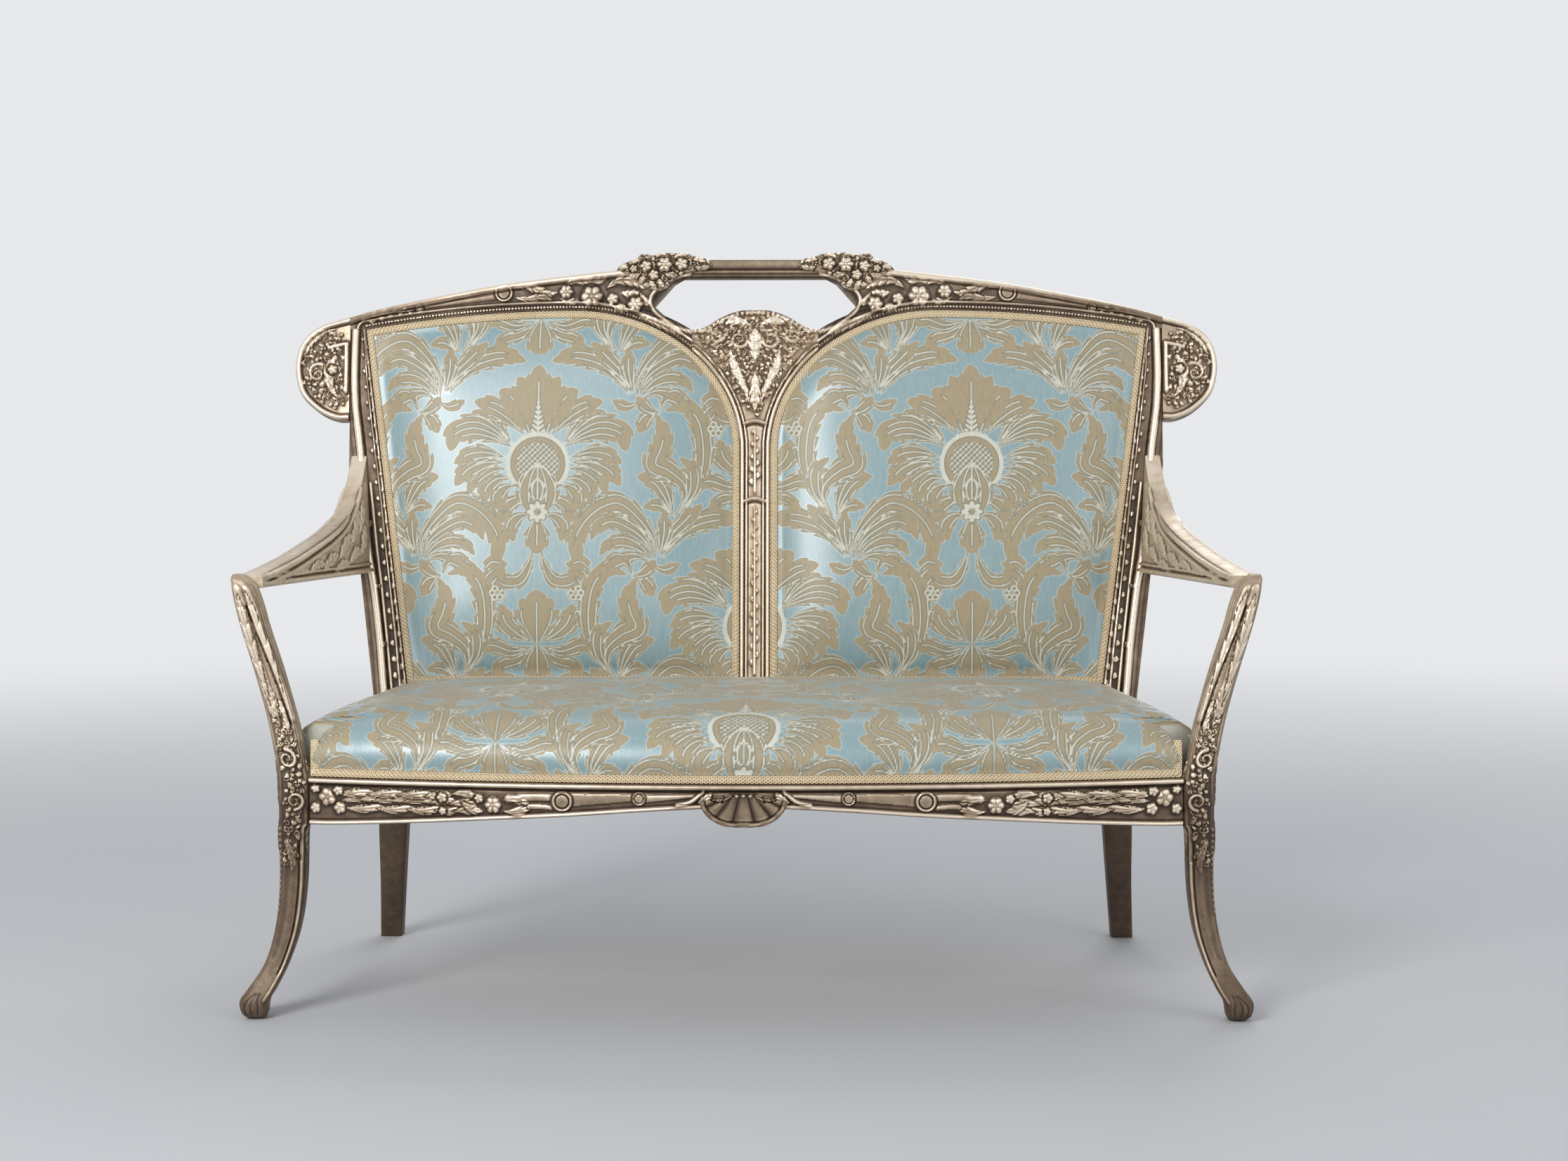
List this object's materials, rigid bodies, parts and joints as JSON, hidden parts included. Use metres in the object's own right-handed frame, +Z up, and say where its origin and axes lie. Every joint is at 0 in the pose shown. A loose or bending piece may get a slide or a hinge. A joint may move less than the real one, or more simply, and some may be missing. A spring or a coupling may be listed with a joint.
{
  "type": "cabriole sofa",
  "caption": "Cabriole sofa with a carved, silvered show-wood frame, open scrolled arms, a pierced crest rail, and a stuffed seat and stuffed back panels covered in damask.",
  "frame": {"origin": "on the floor, under the middle of the sofa's width and depth", "axes": "+X to the right as seen from the front, +Y to the back, +Z up"},
  "size_m": [1.4986, 0.729, 1.1195],
  "materials": {
    "silver_leaf": "carved beech under silver leaf, rubbed bright on its high points and toned dark brown in its hollows",
    "bare_wood": "planed, unfinished",
    "screw_steel": "plain",
    "damask": "pale blue satin ground with a matt taupe figure veined in cream",
    "lining": "plain pale blue outside-back cloth",
    "braid": "old-gold looped braid",
    "webbing": "woven jute",
    "stuffing": "curled hair in linen"
  },
  "bodies": {
    "root": {"apron_shell": "silver_leaf", "arm_dowel_front_left": "bare_wood", "arm_dowel_front_right": "bare_wood", "arm_dowel_rear_left": "bare_wood", "arm_dowel_rear_right": "bare_wood", "arm_left": "silver_leaf", "arm_right": "silver_leaf", "back_braid_left": "braid", "back_braid_right": "braid", "back_cover_left": "damask", "back_cover_right": "damask", "back_stuffing_left": "stuffing", "back_stuffing_right": "stuffing", "back_webbing_left": "webbing", "back_webbing_right": "webbing", "centre_splat": "silver_leaf", "corner_block_front_left": "bare_wood", "corner_block_front_right": "bare_wood", "corner_block_rear_left": "bare_wood", "corner_block_rear_right": "bare_wood", "corner_screw_front_left_1": "screw_steel", "corner_screw_front_left_2": "screw_steel", "corner_screw_front_right_1": "screw_steel", "corner_screw_front_right_2": "screw_steel", "corner_screw_rear_left_1": "screw_steel", "corner_screw_rear_left_2": "screw_steel", "corner_screw_rear_right_1": "screw_steel", "corner_screw_rear_right_2": "screw_steel", "crest_bouquet_left": "silver_leaf", "crest_bouquet_right": "silver_leaf", "crest_dowel_left": "bare_wood", "crest_dowel_right": "bare_wood", "crest_ear_left": "silver_leaf", "crest_ear_right": "silver_leaf", "crest_rail": "silver_leaf", "ear_dowel_left": "bare_wood", "ear_dowel_right": "bare_wood", "front_leg_left": "silver_leaf", "front_leg_right": "silver_leaf", "front_seat_rail": "silver_leaf", "lower_back_rail": "silver_leaf", "outside_back_cloth_left": "lining", "outside_back_cloth_right": "lining", "rear_leg_left": "silver_leaf", "rear_leg_right": "silver_leaf", "rear_seat_rail": "bare_wood", "seat_braid_front": "braid", "seat_braid_left": "braid", "seat_braid_right": "braid", "seat_cover": "damask", "seat_cross_rail": "bare_wood", "seat_stuffing": "stuffing", "seat_webbing": "webbing", "side_seat_rail_left": "silver_leaf", "side_seat_rail_right": "silver_leaf"}
  },
  "joints": []
}
